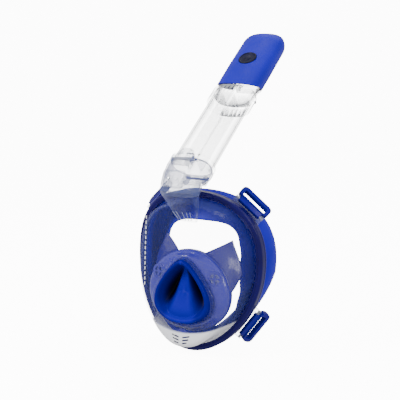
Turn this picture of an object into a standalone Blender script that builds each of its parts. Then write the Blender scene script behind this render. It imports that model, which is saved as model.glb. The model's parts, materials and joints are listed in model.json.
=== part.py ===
"""Full-face snorkel mask with a folding snorkel and a dry top.

The mask faces -Y, +Z is up and the wearer's left is +X. The origin is the centre of the face
opening at the rear rim of the skirt. Lengths here are millimetres, and MM turns them into metres.
"""

import math

import bmesh
import bpy
from mathutils import Matrix, Vector

MM = 0.001
SEGMENTS = 36

# Face frame: an egg in the X-Z plane, swept back towards the temples
FRAME_HALF_WIDTH = 100.0
FRAME_HALF_HEIGHT = 115.0
FRAME_EGG = 0.09
FRAME_SQUARENESS = (2.3, 2.0)
FRAME_SWEEP = 12.0
FRAME_NOD = 8.0
FRAME_FRONT = -44.0
FRAME_SPLIT = -34.0
FRAME_REAR = -29.0
FRAME_BAND = 9.0
FRAME_WALL = 2.5
FIT_GAP = 0.3

# Visor: a rim between the frames, sloping walls and a nearly flat front pane
VISOR_THICKNESS = 2.0
VISOR_RIM = -39.0
PANE_HALF_WIDTH = 76.0
PANE_HALF_HEIGHT = 98.0
PANE_CENTRE = -4.0
PANE_SQUARENESS = (3.0, 2.3)
PANE_TAPER = 0.28
PANE_LIFT = -3.0
PANE_FRONT = -75.0
PANE_BOW = 8.0

# Skirt
SKIRT_THICKNESS = 2.4
SKIRT_SWEEP = 26.0
SKIRT_TUCK = 12.0
LIP_HALF_WIDTH = 60.0
LIP_HALF_HEIGHT = 84.0
LIP_CHIN = 74.0
LIP_SQUARENESS = (4.5, 2.2)
LIP_CENTRE = -15.0
LIP_DEPTH = -18.0
LIP_DROP = 12.0

# Nose pocket: a rounded triangle with its point up
NOSE_HALF_WIDTH = 40.0
NOSE_HALF_HEIGHT = 44.0
NOSE_CENTRE = -24.0
NOSE_TAPER = 0.45
NOSE_RISE = 9.0
NOSE_RECESS = 27.0
NOSE_THICKNESS = 1.8
BUMP_HEIGHT = 22.0
BUMP_TOP = 4.0
BUMP_BASE = -58.0
BUMP_NARROW = 5.0
BUMP_WIDE = 19.0

# Oronasal cup
CUP_HALF_WIDTH = 64.0
CUP_HALF_HEIGHT = 58.0
CUP_CENTRE = -26.0
CUP_THICKNESS = 1.8
WING_STEPS = 5
VALVE_AT = (45.0, -3.0)
VALVE_RADIUS = 10.0

# Air duct
DUCT_WALL = 1.8

# Chin drain
CHIN_VALVE_Z = -89.0
CHIN_SLOTS = ((13.0, -82.0), (11.0, -87.5), (8.0, -93.0))
CHIN_SLOT_WIDTH = 2.0
CHIN_SLOT_ANGLE = 28.0

# Snorkel: the joint plane is tilted back, and everything on it is measured from its centre
JOINT_Y = -57.0
JOINT_Z = 150.0
LEAN = 52.0
FOLD_BACK = 24.0
TUBE_HALF_WIDTH = 31.0
TUBE_HALF_DEPTH = 17.0
TUBE_LENGTH = 142.0
TUBE_WALL = 2.0
CHANNEL_HALF = 8.6
CENTRE_DEPTH = 14.6
JOINT_GAP = 0.4
LATCH_AXIS = (-25.5, -13.0)
WEB = 1.6
OVAL_SQUARENESS = 2.5
COLLAR_FROM = 130.0
COLLAR_TO = 157.0
COLLAR_GROW = 3.5
CAP_FROM = 175.0
CAP_TO = 296.0
CAP_SLANT = 0.75
CAP_GROW = 3.0
BADGE_Z = 220.0
WINDOW_FROM = 190.0
WINDOW_TOP = 234.0
VENTS = 4
VENT_FROM = 193.0
VENT_PITCH = 9.5
FLOAT_FROM = 222.0
FLOAT_HEIGHT = 22.0
BADGE_RADIUS = 14.0

# Pins and the holes they turn in
PIN_RADIUS = 1.4
HOLE_RADIUS = 1.7

# Strap buckles: place on the outline, in degrees up from the widest line
BUCKLES = {"upper": 50.0, "lower": -37.0}
BUCKLE_PIN_OUT = 3.6
TONGUE_THICKNESS = 5.4
LOOP_THICKNESS = 8.0
LOOP_FROM = 4.6
LOOP_DEPTH = 17.6
LOOP_LEAN = 60.0
BRACKET_HALF_WIDTH = 25.0
BRACKET_GAP = 0.7
BUCKLE_HALF_WIDTH = 26.0
TONGUE_HALF_WIDTH = 19.0
STRAP_SLOT = (40.0, 9.0)
SLOT_AT = 11.7

# Colours: base colour, roughness, metallic and transmission
FINISHES = {
    "blue_plastic": ((0.018, 0.052, 0.52), 0.28, 0.0, 0.0),
    "blue_silicone": ((0.012, 0.070, 0.75), 0.50, 0.0, 0.0),
    "soft_silicone": ((0.05, 0.13, 0.55), 0.45, 0.0, 0.3),
    "clear_plastic": ((0.90, 0.94, 0.97), 0.08, 0.0, 0.9),
    "valve_rubber": ((0.75, 0.78, 0.85), 0.50, 0.0, 0.2),
    "dark_rubber": ((0.03, 0.035, 0.05), 0.55, 0.0, 0.0),
    "dark_badge": ((0.012, 0.018, 0.09), 0.35, 0.0, 0.0),
    "float_foam": ((0.85, 0.86, 0.88), 0.60, 0.0, 0.0),
    "steel": ((0.60, 0.61, 0.63), 0.25, 1.0, 0.0),
}


def clear_scene():
    for old in list(bpy.data.objects):
        bpy.data.objects.remove(old, do_unlink=True)


def new_collection(name):
    collection = bpy.data.collections.new(name)
    bpy.context.scene.collection.children.link(collection)
    return collection


clear_scene()
MASK = new_collection("snorkel_mask")
CUTTERS = new_collection("cutters")


def finish_of(name):
    """The material of that finish, made at its first use."""
    known = bpy.data.materials.get(name)
    if known:
        return known
    colour, roughness, metallic, transmission = FINISHES[name]
    made = bpy.data.materials.new(name)
    made.use_nodes = True
    shader = made.node_tree.nodes["Principled BSDF"]
    shader.inputs["Base Color"].default_value = (*colour, 1.0)
    shader.inputs["Roughness"].default_value = roughness
    shader.inputs["Metallic"].default_value = metallic
    shader.inputs["Transmission Weight"].default_value = transmission
    return made


# Making objects


def keep(bm, name, finish, sharp=40.0):
    """The object of a bmesh in millimetres, in the mask's collection or, without a finish, the cutters'."""
    bmesh.ops.recalc_face_normals(bm, faces=bm.faces)
    bmesh.ops.scale(bm, vec=(MM, MM, MM), verts=bm.verts)
    mesh = bpy.data.meshes.new(name)
    bm.to_mesh(mesh)
    bm.free()
    mesh.shade_smooth()
    mesh.set_sharp_from_angle(angle=math.radians(sharp))
    made = bpy.data.objects.new(name, mesh)
    if finish:
        mesh.materials.append(finish_of(finish))
        MASK.objects.link(made)
    else:
        made.hide_render = True
        made.display_type = "WIRE"
        CUTTERS.objects.link(made)
    return made


def loft(name, rings, finish, loop=False, cap_first=False, cap_last=False):
    """A skin through rings of points. A loop joins the last ring to the first, as a swept band does."""
    bm = bmesh.new()
    rows = [[bm.verts.new(point) for point in ring] for ring in rings]
    pairs = list(zip(rows, rows[1:]))
    if loop:
        pairs.append((rows[-1], rows[0]))
    for first, second in pairs:
        for i in range(len(first)):
            j = (i + 1) % len(first)
            bm.faces.new((first[i], first[j], second[j], second[i]))
    if cap_first:
        bm.faces.new(rows[0])
    if cap_last:
        bm.faces.new(rows[-1])
    return keep(bm, name, finish)


def plate(name, outlines, low, high, finish, turn=Matrix.Identity(4)):
    """A flat plate between two heights. The first outline is its edge and the others are holes."""
    curve = bpy.data.curves.new(name, "CURVE")
    curve.dimensions = "2D"
    curve.fill_mode = "BOTH"
    curve.extrude = (high - low) / 2
    for outline_points in outlines:
        spline = curve.splines.new("POLY")
        spline.points.add(len(outline_points) - 1)
        for place, (x, y) in zip(spline.points, outline_points):
            place.co = (x, y, 0.0, 1.0)
        spline.use_cyclic_u = True
    flat = bpy.data.objects.new(name + "_outline", curve)
    CUTTERS.objects.link(flat)
    solid = bpy.data.meshes.new_from_object(flat.evaluated_get(bpy.context.evaluated_depsgraph_get()))
    bpy.data.objects.remove(flat, do_unlink=True)
    bm = bmesh.new()
    bm.from_mesh(solid)
    bmesh.ops.remove_doubles(bm, verts=bm.verts, dist=0.01)
    bmesh.ops.translate(bm, vec=(0.0, 0.0, (high + low) / 2), verts=bm.verts)
    bmesh.ops.transform(bm, matrix=turn, verts=bm.verts)
    return keep(bm, name, finish)


def box(name, low, high, finish):
    """A box between two corners."""
    bm = bmesh.new()
    bmesh.ops.create_cube(bm, size=1.0)
    size = Vector(high) - Vector(low)
    bmesh.ops.scale(bm, vec=size, verts=bm.verts)
    bmesh.ops.translate(bm, vec=(Vector(high) + Vector(low)) / 2, verts=bm.verts)
    return keep(bm, name, finish)


def cylinder(name, radius, low, high, finish, turn=Matrix.Identity(4), sides=14):
    """A cylinder along Z between two heights, then turned."""
    bm = bmesh.new()
    bmesh.ops.create_cone(
        bm, cap_ends=True, segments=sides, radius1=radius, radius2=radius, depth=high - low
    )
    bmesh.ops.translate(bm, vec=(0.0, 0.0, (high + low) / 2), verts=bm.verts)
    bmesh.ops.transform(bm, matrix=turn, verts=bm.verts)
    return keep(bm, name, finish)


def cross_hole(name, y, z):
    """A cutter for a pin's hole across the tube."""
    place = Matrix.Translation((0.0, y, z))
    return cylinder(name, HOLE_RADIUS, -34.0, 34.0, None, place @ turned("Y", 90.0))


def lathe(name, profile, finish, steps=20):
    """A turned piece: a profile of (radius, height) around Z, from its top down its outer side."""
    mesh = bpy.data.meshes.new(name)
    points = [(MM * r, 0.0, MM * z) for r, z in profile]
    last = len(points) - 1
    edges = [(i, i + 1) for i in range(last)] + [(last, 0)] * (profile[0][0] > 0)
    mesh.from_pydata(points, edges, [])
    mesh.materials.append(finish_of(finish))
    made = bpy.data.objects.new(name, mesh)
    MASK.objects.link(made)
    screw = made.modifiers.new("turn", "SCREW")
    screw.steps = steps
    screw.render_steps = steps
    screw.use_merge_vertices = True
    screw.merge_threshold = 0.00001
    return made


def thicken(made, thickness, offset=0.0):
    """Gives an open skin its wall."""
    shell = made.modifiers.new("wall", "SOLIDIFY")
    shell.thickness = MM * thickness
    shell.offset = offset
    return made


def combine(made, tool, operation="DIFFERENCE", solver="EXACT"):
    """Cuts a piece with a tool, or joins the tool to it."""
    step = made.modifiers.new(operation.lower(), "BOOLEAN")
    step.operation = operation
    step.object = tool
    step.solver = solver
    return made


def weld(made):
    """Merges the near-double points that a row of cuts leaves."""
    joint = made.modifiers.new("weld", "WELD")
    joint.merge_threshold = 0.00002
    return made


def soften(made, width, segments=2):
    """Rounds the edges of a plain solid."""
    edge = made.modifiers.new("edge", "BEVEL")
    edge.width = MM * width
    edge.segments = segments
    edge.limit_method = "ANGLE"
    edge.angle_limit = math.radians(50.0)
    return made


def empty(name, matrix, parent=None):
    """A marker on a joint's axis."""
    made = bpy.data.objects.new(name, None)
    MASK.objects.link(made)
    made.parent = parent
    made.matrix_local = matrix
    return made


def shift(x, y, z):
    return Matrix.Translation(Vector((x, y, z)) * MM)


def turned(axis, degrees):
    return Matrix.Rotation(math.radians(degrees), 4, axis)


# Outlines


def angles(count=SEGMENTS):
    return [2 * math.pi * i / count for i in range(count)]


def superellipse(t, half_width, half_height, squareness):
    c = math.cos(t)
    s = math.sin(t)
    reach = (abs(c) ** squareness + abs(s) ** squareness) ** (-1 / squareness)
    return half_width * c * reach, half_height * s * reach


def egg(t):
    """The face frame's outline: squarer above the widest line, rounder and narrower below it."""
    upper, lower = FRAME_SQUARENESS
    x, z = superellipse(t, FRAME_HALF_WIDTH, FRAME_HALF_HEIGHT, upper if math.sin(t) > 0 else lower)
    return Vector((x * (1 + FRAME_EGG * z / FRAME_HALF_HEIGHT), z))


def egg_normal(t):
    along = (egg(t + 0.001) - egg(t - 0.001)).normalized()
    return Vector((along.y, -along.x))


def frame_point(t, grow, y, sweep=FRAME_SWEEP):
    """A point on the frame's outline, moved outwards by grow.

    The sides are swept back, and the brow and the chin come forwards.
    """
    x, z = egg(t) + grow * egg_normal(t)
    return Vector((x, y + sweep * (x / FRAME_HALF_WIDTH) ** 2 - FRAME_NOD * (z / FRAME_HALF_HEIGHT) ** 2, z))


def frame_ring(grow, y, sweep=FRAME_SWEEP):
    return [frame_point(t, grow, y, sweep) for t in angles()]


def pane_y(x, z):
    """Depth of the middle of the visor's front pane."""
    across = x / PANE_HALF_WIDTH
    upwards = (z - PANE_CENTRE) / PANE_HALF_HEIGHT
    return PANE_FRONT + PANE_BOW * across**2 + PANE_LIFT * upwards**2


def pane_ring(inset, back=0.0):
    ring = []
    for t in angles():
        upper, lower = PANE_SQUARENESS
        squareness = upper if math.sin(t) > 0 else lower
        x, z = superellipse(t, PANE_HALF_WIDTH - inset, PANE_HALF_HEIGHT - inset, squareness)
        x *= 1 - PANE_TAPER * max(-z / PANE_HALF_HEIGHT, 0.0) ** 1.5
        z += PANE_CENTRE
        ring.append(Vector((x, pane_y(x, z) + back, z)))
    return ring


def nose_ring(grow, lift):
    """The nose pocket's outline, lifted forwards off the front pane."""
    ring = []
    for t in angles():
        x = (NOSE_HALF_WIDTH + grow) * math.cos(t) * (1 - NOSE_TAPER * math.sin(t))
        z = NOSE_CENTRE + (NOSE_HALF_HEIGHT + grow) * math.sin(t)
        ring.append(Vector((x, pane_y(x, z) - lift, z)))
    return ring


def cup_ring(scale, y):
    ring = []
    for t in angles():
        x = scale * CUP_HALF_WIDTH * math.cos(t) * (1 - 0.05 * math.sin(t))
        ring.append(Vector((x, y, CUP_CENTRE + scale * CUP_HALF_HEIGHT * math.sin(t))))
    return ring


def between(first, second, share):
    return [a.lerp(b, share) for a, b in zip(first, second)]


def rectangle(half_width, low, high):
    return [(-half_width, low), (half_width, low), (half_width, high), (-half_width, high)]


def pill(half_width, low, high, arc=6):
    """An upright-sided outline with half-round ends at left and right."""
    radius = (high - low) / 2
    middle = (high + low) / 2
    points = []
    for side in (1, -1):
        for i in range(arc + 1):
            a = math.pi * (i / arc - 0.5)
            across = half_width - radius + radius * math.cos(a)
            points.append((side * across, middle + side * radius * math.sin(a)))
    return points


def rounded(half_width, low, high, radius, arc=4):
    """A rectangle with round corners, between two heights."""
    corners = (
        (half_width - radius, low + radius, -90.0), (half_width - radius, high - radius, 0.0),
        (radius - half_width, high - radius, 90.0), (radius - half_width, low + radius, 180.0),
    )
    points = []
    for x, y, start in corners:
        for i in range(arc + 1):
            a = math.radians(start + 90.0 * i / arc)
            points.append((x + radius * math.cos(a), y + radius * math.sin(a)))
    return points


def oval_ring(grow, z, squareness=OVAL_SQUARENESS, count=32):
    ring = []
    for t in angles(count):
        x, y = superellipse(t, TUBE_HALF_WIDTH + grow, TUBE_HALF_DEPTH + grow, squareness)
        ring.append(Vector((x, y, z)))
    return ring


def flat(ring):
    return [(point.x, point.y) for point in ring]


def side_channel(side):
    """The outer air channel's outline: the tube's inside beyond a web."""
    inside = []
    for i in range(17):
        t = math.radians(-72.0 + 9.0 * i)
        x, y = superellipse(t, TUBE_HALF_WIDTH - TUBE_WALL, TUBE_HALF_DEPTH - TUBE_WALL, OVAL_SQUARENESS)
        inside.append((side * max(x, CHANNEL_HALF + WEB), y))
    return inside


def swept_band(name, profile, finish, sweep=FRAME_SWEEP):
    """A closed profile of (outwards, depth) carried around the frame's outline."""
    return loft(name, [frame_ring(grow, y, sweep) for grow, y in profile], finish, loop=True)


# Face frame and skirt


def build_front_frame():
    wall = FRAME_WALL
    lip = FRAME_FRONT + 3.7
    profile = [
        (-1.5, FRAME_FRONT), (0.0, FRAME_FRONT + 1.5), (0.0, FRAME_SPLIT), (-wall, FRAME_SPLIT),
        (-wall, lip), (-FRAME_BAND, lip), (-FRAME_BAND, FRAME_FRONT + 1.0), (-FRAME_BAND + 1.0, FRAME_FRONT),
    ]
    return swept_band("front_frame", profile, "blue_plastic")


def build_rear_frame():
    front = FRAME_SPLIT + FIT_GAP
    inner = -6.5
    profile = [
        (0.0, front), (0.0, FRAME_REAR - 1.5), (-1.5, FRAME_REAR), (inner, FRAME_REAR), (inner, front),
    ]
    return swept_band("rear_frame", profile, "blue_plastic")


def lip_edge():
    """Inner edge of the sealing lip, around the face."""
    ring = []
    for t in angles():
        upper = t < math.pi
        half_height = LIP_HALF_HEIGHT if upper else LIP_CHIN
        x, z = superellipse(t, LIP_HALF_WIDTH, half_height, LIP_SQUARENESS[0 if upper else 1])
        ring.append(Vector((x, LIP_DEPTH + LIP_DROP * max(0.0, -math.sin(t)) ** 2, LIP_CENTRE + z)))
    return ring


def skirt_ring(grow, y, share):
    """An outline of the skirt. Its share of the sweep and of the tuck beside the chin grows rearwards."""
    ring = []
    sweep = FRAME_SWEEP + share * (SKIRT_SWEEP - FRAME_SWEEP)
    for t in angles():
        tuck = share * SKIRT_TUCK * 2 * max(-math.sin(t), 0.0) * abs(math.cos(t))
        ring.append(frame_point(t, grow - tuck, y, sweep))
    return ring


def build_skirt():
    """Bead in the frame, bulging wall, and a lip turned in and forwards to lie on the face."""
    path = [
        (-4.6, -36.0, 0.0), (-9.3, -36.0, 0.0), (-9.3, -30.0, 0.05), (-8.0, -24.0, 0.15),
        (-3.0, -17.0, 0.4), (-1.0, -9.0, 0.7), (-4.0, -2.5, 0.9), (-10.0, 0.0, 1.0),
    ]
    rings = []
    for grow, y, share in path:
        rings.append(skirt_ring(grow, y, share))
    rim = skirt_ring(-17.0, -2.5, 1.0)
    rings.append(rim)
    for share in (0.5, 1.0):
        rings.append(between(rim, lip_edge(), share))
    return thicken(loft("face_skirt", rings, "blue_silicone"), SKIRT_THICKNESS)


# Visor and what is set in it


def duct_rings(grow, drop=0.0):
    """Sections of the air duct, from inside the visor up to the snorkel's base."""
    sections = ((-66.5, 74.0 - drop, 15.0, 5.0), (-75.0, 90.0, 20.0, 10.0), (-88.0, 112.7, 25.0, 19.0))
    rings = []
    for y, z, half_width, half_depth in sections:
        ring = []
        for t in angles(32):
            x, depth = superellipse(t, half_width + grow, half_depth + grow, 3.0)
            ring.append(Vector((x, y + depth, z)))
        rings.append(ring)
    return rings


def chin_slot_cutters():
    cutters = []
    for row, (length, z) in enumerate(CHIN_SLOTS):
        for side in (1, -1):
            half = length / 2
            tool = plate(
                f"chin_slot_{row}_{side + 1}", [pill(half, -CHIN_SLOT_WIDTH / 2, CHIN_SLOT_WIDTH / 2, 4)],
                -6.0, 6.0, None, turned("X", 90.0),
            )
            aim = turned("Y", -side * CHIN_SLOT_ANGLE)
            tool.matrix_world = shift(side * (half + 2.5), PANE_FRONT, z) @ aim
            cutters.append(tool)
    return cutters


def build_visor():
    rings = [
        frame_ring(-3.0, VISOR_RIM),
        frame_ring(-11.0, VISOR_RIM),
        frame_ring(-12.5, VISOR_RIM - 2.0),
        between(frame_ring(-12.5, VISOR_RIM - 2.0), pane_ring(-2.0, 6.0), 0.5),
        pane_ring(-2.0, 6.0),
        pane_ring(0.0, 1.5),
        pane_ring(3.5),
        [],
        nose_ring(2.0, 0.0),
    ]
    rings[7] = between(rings[6], rings[8], 0.5)
    for point in rings[7]:
        point.y = pane_y(point.x, point.z)
    visor = thicken(loft("visor", rings, "clear_plastic"), VISOR_THICKNESS)
    combine(visor, loft("duct_hole", duct_rings(1.2, 7.0), None, cap_first=True, cap_last=True))
    for tool in chin_slot_cutters():
        combine(visor, tool)
    return visor


def nose_bump(x, z):
    """How far the nose stands out of the pocket's floor: a wedge that widens down to the nostrils."""
    down = min(max((BUMP_TOP - z) / (BUMP_TOP - BUMP_BASE), 0.0), 1.0)
    width = BUMP_NARROW + (BUMP_WIDE - BUMP_NARROW) * down
    side = min(max(1.6 - abs(x) / width, 0.0), 1.0)
    rise = math.sin(0.5 * math.pi * down)
    return BUMP_HEIGHT * rise * side * side * (3 - 2 * side)


def build_nose_pocket():
    rings = [nose_ring(6.0, -2.3), nose_ring(0.0, -2.3), nose_ring(0.0, NOSE_RISE - 2.0)]
    rings.append(nose_ring(-1.5, NOSE_RISE))
    rings.append(nose_ring(-4.0, NOSE_RISE - 0.5))
    rim = nose_ring(-5.5, NOSE_RISE - 3.0)
    middle = Vector((0.0, 0.0, NOSE_CENTRE))
    for share in (1.0, 0.88, 0.74, 0.58, 0.42, 0.26, 0.1):
        ring = []
        for point in rim:
            x = share * point.x
            z = middle.z + share * (point.z - middle.z)
            floor = NOSE_RECESS * (1 - share**3) ** 0.6
            ring.append(Vector((x, point.y + floor - nose_bump(x, z) * (1 - share**6), z)))
        rings.append(ring)
    return thicken(loft("nose_pocket", rings, "blue_silicone", cap_last=True), NOSE_THICKNESS)


def build_nose_retainer():
    low = VISOR_THICKNESS / 2 + 0.4
    profile = ((1.4, low), (7.0, low), (6.2, low + 2.6), (2.2, low + 3.6), (1.4, low + 3.0))
    return loft("nose_retainer", [nose_ring(grow, lift) for grow, lift in profile], "clear_plastic", loop=True)


def valve_frame(side):
    """Where an inhale valve sits on the cup's shoulder, with Z out of the cup."""
    x, z = VALVE_AT
    return shift(side * x, -66.2, z) @ turned("Z", side * 12.0) @ turned("X", 90.0)


def build_cup():
    rings = [
        nose_ring(7.5, -6.0), cup_ring(0.92, -63.0), cup_ring(0.99, -58.0), cup_ring(0.98, -47.0),
        cup_ring(0.83, -32.0), cup_ring(0.72, -20.0), cup_ring(0.63, -18.0),
    ]
    cup = thicken(loft("oronasal_cup", rings, "soft_silicone"), CUP_THICKNESS)
    for side in (1, -1):
        tool = cylinder(f"valve_hole_{side + 1}", VALVE_RADIUS + 1.5, -6.0, 12.0, None)
        tool.matrix_world = valve_frame(side)
        combine(cup, tool)
    return cup


def build_inhale_valve(side, name):
    outer = VALVE_RADIUS + 1.2
    rim = [(outer * math.cos(t), outer * math.sin(t)) for t in angles(24)]
    holes = []
    for quarter in range(4):
        start = math.radians(90.0 * quarter + 12.0)
        end = math.radians(90.0 * quarter + 78.0)
        steps = [start + (end - start) * i / 4 for i in range(5)]
        hole = [(7.6 * math.cos(a), 7.6 * math.sin(a)) for a in steps]
        hole += [(2.8 * math.cos(a), 2.8 * math.sin(a)) for a in reversed(steps)]
        holes.append(hole)
    seat = plate(f"inhale_seat_{name}", [rim] + holes, -2.0, 0.0, "clear_plastic")
    seat.matrix_world = valve_frame(side)
    disc = lathe(
        f"inhale_valve_{name}",
        [(0.0, -2.3), (VALVE_RADIUS - 0.8, -2.3), (VALVE_RADIUS - 0.8, -3.1), (2.0, -3.5), (0.0, -3.5)],
        "valve_rubber",
    )
    disc.matrix_world = valve_frame(side)


def build_cup_wing(side, name):
    """A soft web from the cup's shoulder out towards the lip, which parts the eyes' air from the mouth's."""
    rows = []
    for i in range(WING_STEPS + 1):
        share = i / WING_STEPS
        t = math.radians(8.0 + 60.0 * share)
        root = Vector((CUP_HALF_WIDTH * math.cos(t), -47.0, CUP_CENTRE + CUP_HALF_HEIGHT * math.sin(t)))
        root += 1.5 * Vector((math.cos(t), 0.0, math.sin(t)))
        tip = Vector((70.0, -31.0, 4.0)).lerp(Vector((56.0, -31.0, 46.0)), share)
        rows.append([Vector((side * p.x, p.y, p.z)) for p in (root, root.lerp(tip, 0.5), tip)])
    bm = bmesh.new()
    grid = [[bm.verts.new(p) for p in row] for row in rows]
    for first, second in zip(grid, grid[1:]):
        for i in range(2):
            bm.faces.new((first[i], first[i + 1], second[i + 1], second[i]))
    return thicken(keep(bm, f"cup_wing_{name}", "soft_silicone"), 1.6)


def chin_frame():
    return shift(0.0, pane_y(0.0, CHIN_VALVE_Z) + 4.1, CHIN_VALVE_Z) @ turned("X", 90.0)


def build_chin_valve():
    seat = lathe(
        "chin_valve_seat",
        [(6.0, 2.0), (11.0, 2.0), (11.0, -1.5), (9.4, -1.5), (9.4, 0.0), (6.0, 0.0)],
        "clear_plastic",
    )
    disc = lathe(
        "chin_valve",
        [(0.0, -0.4), (8.9, -0.4), (8.9, -1.2), (2.0, -1.7), (0.0, -1.7)],
        "valve_rubber",
    )
    for piece in (seat, disc):
        piece.matrix_world = chin_frame() @ turned("X", 180.0)


# Snorkel base


def base_ring(y, z, tilt, half_width, half_depth):
    lean = Matrix.Rotation(math.radians(-tilt), 3, "X")
    ring = []
    for t in angles(32):
        x, depth = superellipse(t, half_width, half_depth, 3.4)
        ring.append(Vector((0.0, y, z)) + lean @ Vector((x, depth, 0.0)))
    return ring


def joint_point(y, z):
    """World place of a point of the joint plane's frame, in millimetres."""
    lean = math.radians(LEAN)
    across = Vector((0.0, math.cos(lean), -math.sin(lean)))
    along = Vector((0.0, math.sin(lean), math.cos(lean)))
    return Vector((0.0, JOINT_Y, JOINT_Z)) + y * across + z * along


def joint_frame():
    return shift(0.0, JOINT_Y, JOINT_Z) @ turned("X", -LEAN)


def build_duct():
    """A straight-walled pipe: its outside up, then its inside down."""
    rings = duct_rings(0.0) + duct_rings(-DUCT_WALL)[::-1]
    return loft("air_duct", rings, "clear_plastic", loop=True)


def build_base():
    neck = joint_point(0.0, -11.0)
    mouth = joint_point(0.0, -2.8)
    rings = [
        base_ring(-88.0, 113.0, 0.0, 25.0, 19.0),
        base_ring(-88.5, 118.5, 2.0, 25.5, 24.0),
        base_ring(-83.5, 131.0, 14.0, 26.0, 24.0),
        base_ring(-77.0, 135.0, 30.0, 29.0, 22.0),
        base_ring(neck.y, neck.z, LEAN, 33.0, 19.0),
        base_ring(mouth.y, mouth.z, LEAN, 33.0, 19.0),
    ]
    base = thicken(loft("snorkel_base", rings, "clear_plastic"), 2.6, -1.0)
    for side in (1, -1):
        inner, outer = sorted((side * 12.6, side * 17.5))
        ear = box(f"fold_ear_{side + 1}", (inner, 20.3, -10.0), (outer, 28.0, 3.4), None)
        root = box(f"ear_root_{side + 1}", (inner + 0.4, 15.6, -9.0), (outer - 0.4, 23.0, -4.0), None)
        for tool in (ear, root):
            tool.matrix_world = joint_frame()
            combine(base, tool, "UNION")
    for side in (1, -1):
        inner, outer = sorted((side * 13.6, side * 17.6))
        lug = box(f"latch_lug_{side + 1}", (inner, -28.2, -18.0), (outer, -17.4, -8.0), None)
        lug.matrix_world = joint_frame()
        combine(base, lug, "UNION")
    hole = cylinder("fold_hole", HOLE_RADIUS, -30.0, 30.0, None, turned("Y", 90.0))
    hole.matrix_world = joint_frame() @ shift(0.0, FOLD_BACK, 0.0)
    combine(base, hole)
    lug_hole = cross_hole("lug_hole", *LATCH_AXIS)
    lug_hole.matrix_world = joint_frame()
    combine(base, lug_hole)


def build_base_panel():
    face = rounded(17.0, -12.5, 12.5, 4.0)
    panel = plate("base_panel", [face], 0.0, 3.0, "clear_plastic", turned("X", 90.0))
    panel.matrix_world = shift(0.0, -107.2, 136.5) @ turned("X", -24.0)
    for side, name in ((1, "left"), (-1, "right")):
        screw = lathe(f"panel_screw_{name}", [(0.0, 4.6), (1.6, 4.4), (1.9, 3.3), (0.0, 3.3)], "steel", 12)
        screw.matrix_world = panel.matrix_world @ shift(side * 6.0, 0.0, 0.0) @ turned("X", 90.0)


def build_seal():
    """The ring that the tube's foot presses on."""
    profile = ((-1.5, -2.4), (0.5, -2.4), (1.2, -1.4), (0.5, -0.4), (-1.5, -0.4))
    seal = loft("tube_seal", [oval_ring(grow, z) for grow, z in profile], "dark_rubber", loop=True)
    seal.matrix_world = joint_frame()


def build_fold_pin():
    pin = cylinder("fold_pin", PIN_RADIUS, -17.5, 17.5, "steel", turned("Y", 90.0))
    pin.matrix_world = joint_frame() @ shift(0.0, FOLD_BACK, 0.0)


# Snorkel tube, dry top and latch. Their meshes are measured from the joint plane's centre


def build_tube():
    """The three-channel tube with its foot and the tongue it folds on.

    Returns the tube and its tools, which ride with it.
    """
    solid = flat(oval_ring(0.0, 0.0))
    tube = plate("snorkel_tube", [solid], JOINT_GAP, TUBE_LENGTH, "clear_plastic")
    joined = [
        plate("tube_foot", [rounded(33.2, -19.4, 18.2, 15.0)], JOINT_GAP + 0.3, 6.0, None),
        box("fold_tongue", (-12.0, 19.9, -3.4), (12.0, 27.8, 3.6), None),
        box("fold_bridge", (-11.4, 12.3, 1.1), (11.4, 22.0, 5.5), None),
    ]
    channels = [rectangle(CHANNEL_HALF, -CENTRE_DEPTH, CENTRE_DEPTH), side_channel(1), side_channel(-1)]
    holes = [plate("channels", channels, -6.0, TUBE_LENGTH + 5.0, None)]
    holes.append(cross_hole("tongue_hole", FOLD_BACK, 0.0))
    for tool in joined:
        combine(tube, tool, "UNION")
    for tool in holes:
        combine(tube, tool)
    weld(tube)
    return [tube] + joined + holes


def build_collar():
    inner = flat(oval_ring(1.0, 0.0))
    outer = flat(oval_ring(COLLAR_GROW, 0.0))
    collar = plate("tube_collar", [outer, inner], COLLAR_FROM, COLLAR_TO, "clear_plastic")
    inner_side = TUBE_HALF_WIDTH + 2.6
    outer_side = TUBE_HALF_WIDTH + 7.0
    lug = box("collar_lug", (inner_side, -6.0, COLLAR_TO - 26.0), (outer_side, 6.0, COLLAR_TO - 3.0), None)
    soften(lug, 3.0, 3)
    combine(collar, lug, "UNION")
    place = Matrix.Translation((TUBE_HALF_WIDTH + 7.3, 0.0, COLLAR_TO - 15.0))
    screw = cylinder("collar_screw", 2.4, 0.0, 1.6, "steel", place @ turned("Y", 90.0))
    return [collar, lug, screw]


def build_top_body():
    """The clear housing that the float runs in, with vents down its back."""
    top = CAP_TO - 14.0
    rings = [
        oval_ring(0.7, COLLAR_TO - 8.0), oval_ring(0.7, top - 12.0), oval_ring(-2.0, top - 4.0), oval_ring(-7.0, top),
    ]
    body = thicken(loft("top_body", rings, "clear_plastic", cap_last=True), 1.8, -1.0)
    tools = []
    for level in range(VENTS):
        z = VENT_FROM + VENT_PITCH * level
        vent = box(f"vent_{level}", (-15.0, 8.0, z), (15.0, 30.0, z + 4.6), None)
        combine(body, vent)
        tools.append(vent)
    return [body] + tools


def build_vent_cover():
    """The clear louvre that fills the window at the back of the cap."""
    rows = []
    for level in range(VENTS):
        low = VENT_FROM - 1.0 + VENT_PITCH * level
        rows.append(rectangle(14.0, low, low + 6.0))
    outline_points = rounded(21.0, WINDOW_FROM, WINDOW_TOP - 0.6, 6.0)
    cover = plate("vent_cover", [outline_points] + rows, -24.5, -19.6, "clear_plastic", turned("X", 90.0))
    return [cover]


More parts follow.
